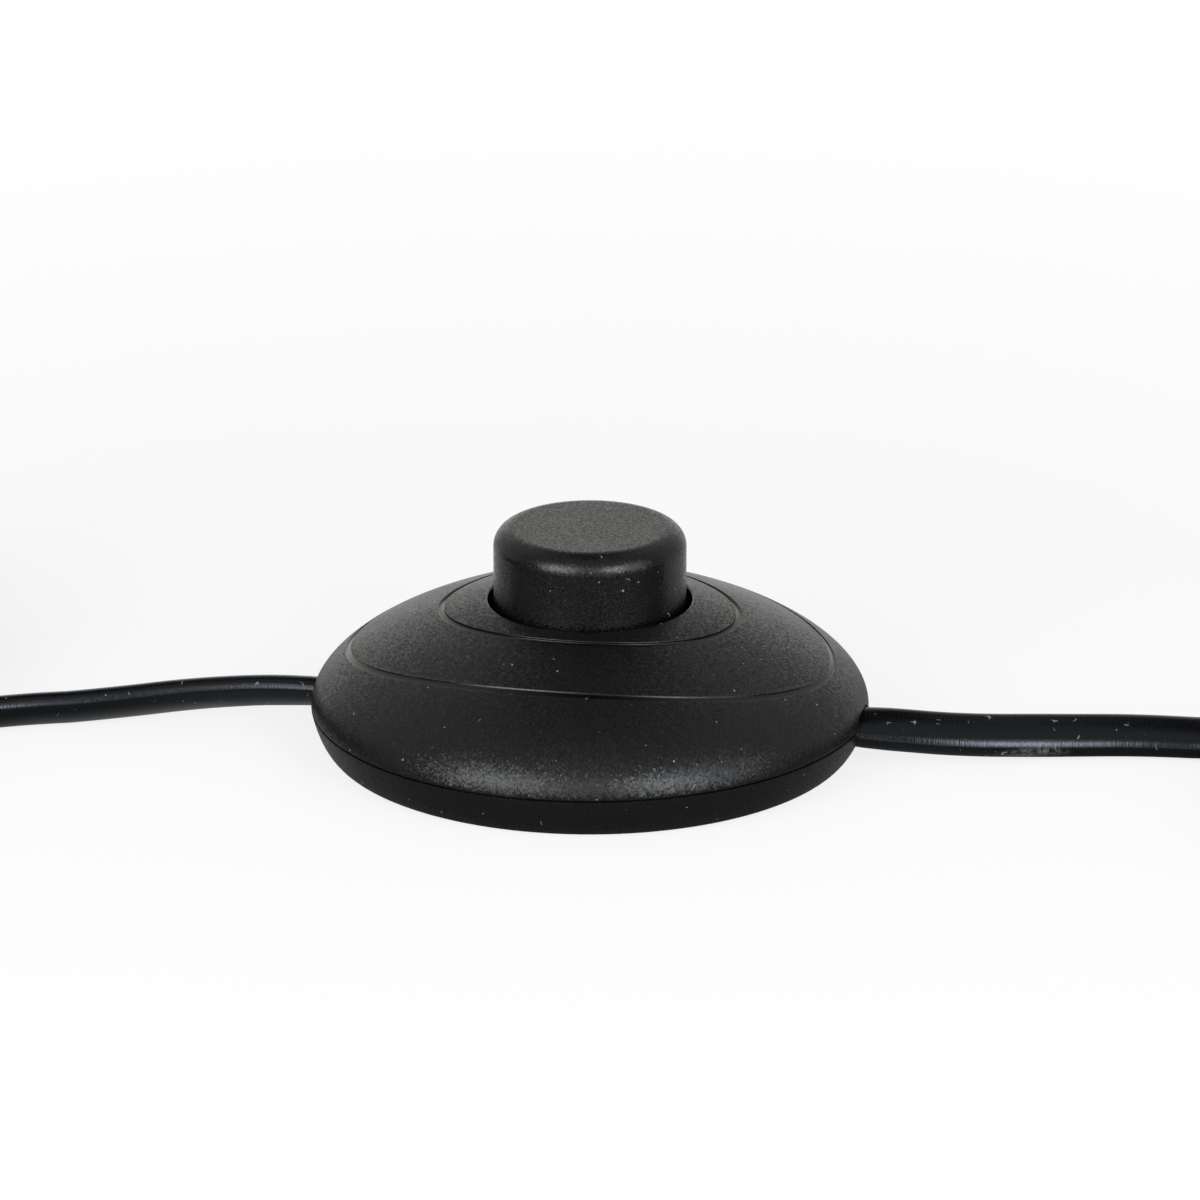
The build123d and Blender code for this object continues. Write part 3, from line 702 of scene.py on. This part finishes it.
def cover_angles():
    """Directions of the cover's columns: even, and closer together at the cord mouths."""
    even = np.radians(np.arange(0, 360, column_degrees))
    corner = np.linspace(0, math.pi / 2, mouth_corner_points)
    arch = mouth_half - mouth_round * (1 - np.sin(corner))
    near = np.concatenate([arch, mouth_half + mouth_edge_steps])
    close = np.arcsin(near / body_radius)
    every = np.concatenate([even, close, -close, math.pi + close, math.pi - close])
    return np.unique(np.round(np.mod(every, math.tau), 6))


def shell(levels):
    """Closed shell through rings of points that have the same count."""
    return np.concatenate(levels), tube_faces(len(levels), len(levels[0]))


def upright_ring(outline, height):
    """Outline in plan raised to one height, or to a height for each point."""
    return np.column_stack([outline, np.broadcast_to(height, len(outline))])


def cover_posts():
    """Screw posts with their pilot holes, and the button's guide rails, up into the dome's wall."""
    wall = dome_curve(casing_wall / 2)
    turn = np.linspace(0, math.tau, post_sides, endpoint=False)
    circle = np.column_stack([np.cos(turn), np.sin(turn)])
    corners = np.array([(-1, -1), (1, -1), (1, 1), (-1, 1)]) / 2

    def under_dome(outline):
        return np.interp(np.hypot(*outline.T), wall[::-1, 0], wall[::-1, 1])

    shells = []
    for side in (1, -1):
        pilot = circle * pilot_radius + (0, side * boss_y)
        around = circle * boss_radius + (0, side * boss_y)
        shells.append(shell([upright_ring(pilot, pilot_top), upright_ring(pilot, boss_bottom),
                             upright_ring(around, boss_bottom), upright_ring(around, under_dome(around))]))
        rail = corners * (rail_width, rail_depth) + (0, side * rail_y)
        shells.append(shell([upright_ring(rail, rail_bottom), upright_ring(rail, under_dome(rail))]))
    return shells


def mouth_arch(angles):
    """Height of the cord mouths' upper edge in each direction, and 0 beside them."""
    aside = np.abs(body_radius * np.sin(angles))
    past_corner = np.clip(aside - (mouth_half - mouth_round), 0, mouth_round)
    drop = np.sqrt(np.clip(mouth_round**2 - past_corner**2, 0, None))
    return np.where(aside < mouth_half, mouth_top - mouth_round + drop, 0.0)


def cover_rows(angles):
    """Rows of the cover's skin, each as radii and heights, and the share of polish on some of them."""
    outer = dome_curve(0.0)
    lengths = run_lengths(outer)
    slope = np.gradient(outer, lengths, axis=0)
    slope /= np.linalg.norm(slope, axis=1)[:, None]

    def length_at_radius(radius):
        return np.interp(radius, outer[::-1, 0], lengths[::-1])

    def length_at_height(height):
        return np.interp(height, outer[:, 1], lengths)

    def skin(length, depth=0.0):
        """Radius and height at a length up the dome, sunk by a depth."""
        radius, height = (np.interp(length, lengths, outer[:, axis]) for axis in (0, 1))
        along_r, along_z = (np.interp(length, lengths, slope[:, axis]) for axis in (0, 1))
        return radius - along_z * depth, height + along_r * depth

    def level_row(radius, height):
        return np.full_like(angles, radius), np.broadcast_to(height, angles.shape)

    arch = mouth_arch(angles)
    lip_under = np.maximum(arch, seam_height + seam_gap)
    seat = np.maximum(arch, seam_height)
    rows = [
        level_row(body_radius - casing_wall, seat),
        level_row(body_radius - seam_gap_depth, seat),
        level_row(body_radius - seam_gap_depth, lip_under),
    ]
    starts = length_at_height(lip_under + lip_round)
    edge_radius, edge_height = skin(starts)
    for angle in np.radians(np.linspace(-90, -15, lip_rows)):
        inward, down = lip_round * (1 - math.cos(angle)), lip_round * math.sin(angle)
        rows.append((edge_radius - inward, edge_height + down))

    centre_radius = hole_radius + hole_edge_round
    centre_drop = math.tan(crown_slope) + 1 / math.cos(crown_slope)
    centre_height = rim_height - hole_edge_round * centre_drop
    crown_end = length_at_radius(centre_radius + hole_edge_round * math.sin(crown_slope))
    reach = groove_half * groove_places[-1]
    polished = {}
    stretches = [
        (outer_groove, outer_groove_depth, outer_rows),
        (inner_groove, inner_groove_depth, middle_rows),
    ]
    for half_lengths, depth, count in stretches:
        middle = length_at_radius(ellipse_radius(half_lengths, angles))
        for share in np.linspace(0, 1, count)[:-1]:
            rows.append(skin(starts + (middle - reach - starts) * share))
        for place, share in zip(groove_places, groove_shares):
            polished[len(rows)] = min(groove_polish_rise * share, 1.0)
            rows.append(skin(middle + place * groove_half, depth * share))
        starts = middle + reach
    for share in np.linspace(0, 1, crown_rows)[1:]:
        rows.append(skin(starts + (crown_end - starts) * share))
    for angle in np.linspace(math.pi / 2 - crown_slope, math.pi, hole_edge_rows)[1:]:
        polished[len(rows)] = rim_polish
        rows.append(level_row(centre_radius + hole_edge_round * math.cos(angle),
                              centre_height + hole_edge_round * math.sin(angle)))

    inner = dome_curve(casing_wall)
    sleeve_outer = hole_radius + sleeve_wall
    sleeve_top = np.interp(sleeve_outer, inner[::-1, 0], inner[::-1, 1])
    rows.append(level_row(hole_radius, (centre_height + sleeve_bottom) / 2))
    rows.append(level_row(hole_radius, sleeve_bottom))
    rows.append(level_row(sleeve_outer, sleeve_bottom))
    rows.append(level_row(sleeve_outer, sleeve_top))
    for height in np.linspace(sleeve_top, seam_height, inner_rows)[1:-1]:
        clear = np.maximum(height, seat)
        rows.append((np.interp(clear, inner[:, 1], inner[:, 0]), clear))
    return rows, polished


def make_cover():
    """Moulded cover as one closed skin, with its posts and rails."""
    angles = cover_angles()
    rows, polished = cover_rows(angles)
    rings = []
    for radius, height in rows:
        rings.append(np.stack([radius * np.cos(angles), radius * np.sin(angles), height], axis=1))
    row_count, columns = len(rings), len(angles)
    faces = []
    for row in range(row_count):
        low, high = row * columns, (row + 1) % row_count * columns
        for column in range(columns):
            after = (column + 1) % columns
            faces.append((low + column, low + after, high + after, high + column))
    points = np.concatenate(rings)
    shares = np.zeros((row_count, columns))
    for row, share in polished.items():
        shares[row] = share
    for post_points, post_faces in cover_posts():
        faces += [tuple(corner + len(points) for corner in face) for face in post_faces]
        points = np.concatenate([points, post_points])
    cover = mesh_object("cover_moulding", points, faces, cover_sharp_angle)
    cover.data.materials.append(materials["casing_plastic"])
    values = np.concatenate([shares.ravel(), np.zeros(len(points) - shares.size)])
    cover.data.attributes.new("polish", "FLOAT", "POINT").data.foreach_set("value", values)
    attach(cover, "casing")
    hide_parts("top_cover")


# Spring


def make_spring():
    """Coil spring in the place of the CAD spring, from its foot in the casing up to the button."""
    lowest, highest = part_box("return_spring")
    bottom = lowest[2] + spring_wire_radius
    rise = highest[2] - spring_wire_radius - bottom
    share = np.linspace(0.0, 1.0, spring_turns * spring_steps + 1)
    angle = share * spring_turns * math.tau
    level = np.zeros_like(angle)
    outward = np.column_stack([np.cos(angle), np.sin(angle), level])
    line = outward * spring_radius + np.column_stack([level, level, bottom + rise * share])
    run = spring_radius * spring_turns * math.tau
    ahead = np.column_stack([-np.sin(angle) * run, np.cos(angle) * run, level + rise])
    ahead /= np.linalg.norm(ahead, axis=1)[:, None]
    across = np.cross(ahead, outward)
    turn = np.linspace(0.0, math.tau, wire_sides, endpoint=False)
    points = line[:, None] + np.cos(turn)[None, :, None] * outward[:, None] * spring_wire_radius
    points += np.sin(turn)[None, :, None] * across[:, None] * spring_wire_radius
    spring = mesh_object("button_return_spring", points.reshape(-1, 3), tube_faces(len(line), wire_sides))
    spring.data.materials.append(materials["steel"])
    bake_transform(spring)
    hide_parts("return_spring")


# Floor, light and backdrop

floor_half = 4.0
floor_drop = 0.05 * mm
floor_shade = 0.25
floor_roughness = 0.9
box_rise = math.radians(21.0)
left_colour = (0.98, 1.0, 1.01)
right_colour = (0.94, 0.98, 1.04)
light_boxes = {
    "left_box": {"turn": -37.0, "distance": 0.62, "size": (0.5, 0.46), "power": 1.6},
    "left_tube": {"turn": -38.0, "distance": 0.57, "size": (0.22, 0.26), "power": 0.5},
    "right_box": {"turn": 40.0, "distance": 0.62, "size": (0.64, 0.46), "power": 1.45},
    "right_tube": {"turn": 30.0, "distance": 0.57, "size": (0.16, 0.22), "power": 0.6},
}
front_shade = 0.55
side_shade = 0.14
back_shade = 0.28
strip_shade = 1.0
backdrop_shade = 0.61
ceiling_shade = 0.2
backdrop_turn = math.radians(1.0)

# Glow of the floor, each as a span in metres or shares and the values at its two ends: as it is seen, and as
# it is mirrored straight behind the object, clear of it to the side, clear of it behind, and close beside it
# The mirrored glow is a painted reflection of a lit floor, left dark in front of the object and its cords as
# painted shadow
floor_seen = (0.1, 0.5, 0.8, 1.0)
floor_behind = (0.7, 1.0, 0.3, 0.7)
clear_aside = (0.036, 0.044, 0.0, 1.0)
clear_of_cord = (0.002, 0.007, 0.0, 1.0)
clear_behind = (0.0, 0.05, 0.0, 1.0)
floor_beside = (0.04, 0.058, 0.2, 0.0)
floor_beside_behind = (-0.025, 0.0, 0.0, 1.0)

# Spans over which each part of the room fades, as heights or as shares of facing a side
room_back = (-0.2, 0.3)
strip_side = (0.05, 0.35)
strip_height = (0.55, 0.8)
strip_back = (-0.15, 0.1)
low_height = (0.1, 0.6)
backdrop_edge = (0.75, 0.98)
front_edge = (-0.5, -0.9)
ceiling_height = (0.3, 0.7)
ceiling_edge = (0.05, -0.25)
backdrop_colour = (1.0, 0.99, 0.97, 1.0)
away = (-math.sin(camera_azimuth), math.cos(camera_azimuth), 0.0)
backdrop_middle = (-math.sin(camera_azimuth + backdrop_turn), math.cos(camera_azimuth + backdrop_turn), 0.0)
right = (math.cos(camera_azimuth), math.sin(camera_azimuth), 0.0)


def make_floor():
    """White floor that takes the object's shadow, and that glows in reflections only as a painted
    reflection, with painted shade in front of the object and its cords.
    """
    corners = [(-1, -1), (1, -1), (1, 1), (-1, 1)]
    mesh = bpy.data.meshes.new("floor")
    points = [(x * floor_half, y * floor_half, -floor_drop) for x, y in corners]
    mesh.from_pydata(points, [], [(0, 1, 2, 3)])
    floor = add_object("floor", mesh)
    material, tree, shader = new_material("floor_white")
    place = surface_place(tree)
    shader.inputs["Base Color"].default_value = grey(floor_shade)
    shader.inputs["Roughness"].default_value = floor_roughness
    shader.inputs["Specular IOR Level"].default_value = 0.0
    rays = node(tree, "LightPath").outputs
    seen = math_node(tree, "MAXIMUM", rays["Is Camera Ray"], rays["Is Transmission Ray"])
    distance = vector_node(tree, "LENGTH", place)
    seen = math_node(tree, "MULTIPLY", seen, remap(tree, distance, *floor_seen))
    # Painted reflection: glow seen only in glossy rays, bright behind the object and left dark in front of
    # it and of the cords as painted shadow
    behind = vector_node(tree, "DOT_PRODUCT", place, away)
    straight = remap(tree, math_node(tree, "DIVIDE", behind, distance), *floor_behind)
    aside = math_node(tree, "ABSOLUTE", vector_node(tree, "DOT_PRODUCT", place, right))
    clear = remap(tree, aside, *clear_aside)
    clear = math_node(tree, "MULTIPLY", clear, remap(tree, behind, *clear_of_cord))
    clear = math_node(tree, "MAXIMUM", clear, remap(tree, behind, *clear_behind))
    mirrored = math_node(tree, "MULTIPLY", straight, clear)
    beside = remap(tree, distance, *floor_beside)
    beside = math_node(tree, "MULTIPLY", beside, remap(tree, behind, *floor_beside_behind))
    mirrored = math_node(tree, "MAXIMUM", mirrored, beside)
    mirrored = math_node(tree, "MULTIPLY", mirrored, rays["Is Glossy Ray"])
    shader.inputs["Emission Color"].default_value = grey(1.0)
    set_input(tree, shader, "Emission Strength", math_node(tree, "MAXIMUM", seen, mirrored))
    mesh.materials.append(material)


def make_world():
    """White backdrop behind the object, and a dim room round it with a dark strip overhead."""
    world = bpy.data.worlds.new("studio")
    world.use_nodes = True
    tree = world.node_tree
    background = tree.nodes["Background"]
    direction = node(tree, "TexCoord").outputs["Generated"]
    towards = vector_node(tree, "DOT_PRODUCT", direction, away)
    aside = math_node(tree, "ABSOLUTE", vector_node(tree, "DOT_PRODUCT", direction, right))
    height = node(tree, "SeparateXYZ", {0: direction}).outputs["Z"]
    room = remap(tree, towards, *room_back, side_shade, side_shade + back_shade)
    strip = remap(tree, aside, *strip_side, strip_shade, 0.0)
    strip = math_node(tree, "MULTIPLY", strip, remap(tree, height, *strip_height, 0.0, 1.0))
    strip = math_node(tree, "MULTIPLY", strip, remap(tree, towards, *strip_back, 0.0, 1.0))
    room = math_node(tree, "MULTIPLY", room, math_node(tree, "SUBTRACT", 1.0, strip))
    low = remap(tree, height, *low_height, 1.0, 0.0)
    facing = vector_node(tree, "DOT_PRODUCT", direction, backdrop_middle)
    backdrop = remap(tree, facing, *backdrop_edge, 0.0, backdrop_shade)
    backdrop = math_node(tree, "MULTIPLY", backdrop, low)
    front = math_node(tree, "MULTIPLY", remap(tree, towards, *front_edge, 0.0, front_shade), low)
    ceiling = remap(tree, height, *ceiling_height, 0.0, ceiling_shade)
    ceiling = math_node(tree, "MULTIPLY", ceiling, remap(tree, towards, *ceiling_edge, 0.0, 1.0))
    room = math_node(tree, "ADD", math_node(tree, "ADD", backdrop, front), room)
    room = math_node(tree, "ADD", room, ceiling)
    rays = node(tree, "LightPath").outputs
    seen = math_node(tree, "MAXIMUM", rays["Is Camera Ray"], rays["Is Transmission Ray"])
    set_input(tree, background, "Color", mix_colour(tree, seen, backdrop_colour, grey(1.0)))
    set_input(tree, background, "Strength", math_node(tree, "MAXIMUM", seen, room))
    bpy.context.scene.world = world


def make_lights():
    """Soft boxes to the left and right of the camera, each brighter in its middle."""
    for name, box in light_boxes.items():
        data = bpy.data.lights.new(name, "AREA")
        data.shape = "RECTANGLE"
        data.size, data.size_y = box["size"]
        data.energy = box["power"]
        data.color = left_colour if box["turn"] < 0 else right_colour
        lamp = add_object(name, data)
        around = camera_azimuth + math.radians(box["turn"])
        level = math.cos(box_rise)
        aim = Vector((math.sin(around) * level, -math.cos(around) * level, math.sin(box_rise)))
        lamp.location = aim * box["distance"]
        lamp.rotation_mode = "QUATERNION"
        lamp.rotation_quaternion = (-aim).to_track_quat("-Z", "Y")
        lamp.visible_camera = False


make_camera()
make_cords()
make_cover()
make_spring()
dress_nodes()
make_floor()
make_world()
make_lights()
bpy.context.scene.view_settings.view_transform = "Standard"
